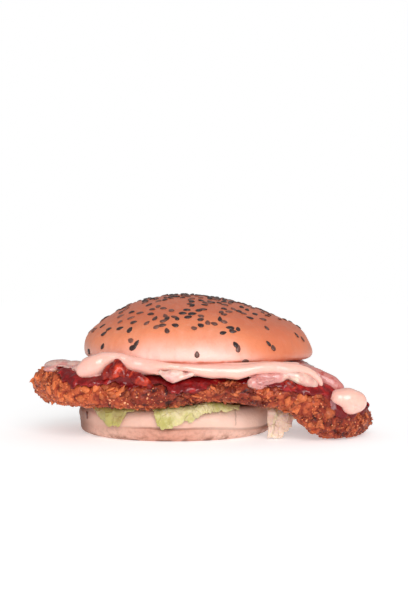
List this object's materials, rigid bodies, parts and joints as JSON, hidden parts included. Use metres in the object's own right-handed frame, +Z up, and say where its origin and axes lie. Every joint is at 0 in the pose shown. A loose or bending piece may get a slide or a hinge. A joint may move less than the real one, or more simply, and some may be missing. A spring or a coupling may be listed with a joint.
{
  "type": "chicken burger",
  "caption": "Crumbed chicken burger: seeded bun crown and heel, long fillet folded down at one end, tomato sauce, melted cheese, mayonnaise and lettuce.",
  "frame": {"origin": "middle of the bun heel's flat underside, on the surface that the burger stands on", "axes": "+Z up, +X along the fillet towards its folded end, -Y towards the side where the sauce drips and the mayonnaise bead show"},
  "size_m": [0.159, 0.1098, 0.064],
  "materials": {
    "baked_bun": "baked bun crust, satin, golden on top and pale below, with dark sesame seeds",
    "pale_bun": "soft pale bun crust, matte",
    "crumb": "fried crumb coating, rough, golden brown",
    "tomato": "wet chunky tomato sauce, glossy",
    "melted_cheese": "melted pale cheese, slightly translucent, glossy",
    "mayonnaise": "smooth mayonnaise, glossy",
    "green_lettuce": "thin green leaf, satin",
    "pale_lettuce": "thin pale inner leaf, satin"
  },
  "bodies": {
    "root": {"bun_crown": "baked_bun", "bun_heel": "pale_bun", "chicken_fillet": "crumb", "tomato_sauce": "tomato", "cheese_left": "melted_cheese", "cheese_right": "melted_cheese", "mayonnaise_ribbon": "mayonnaise", "mayonnaise_dollop": "mayonnaise", "lettuce_left": "green_lettuce", "lettuce_middle": "green_lettuce", "lettuce_right": "pale_lettuce"}
  },
  "joints": []
}
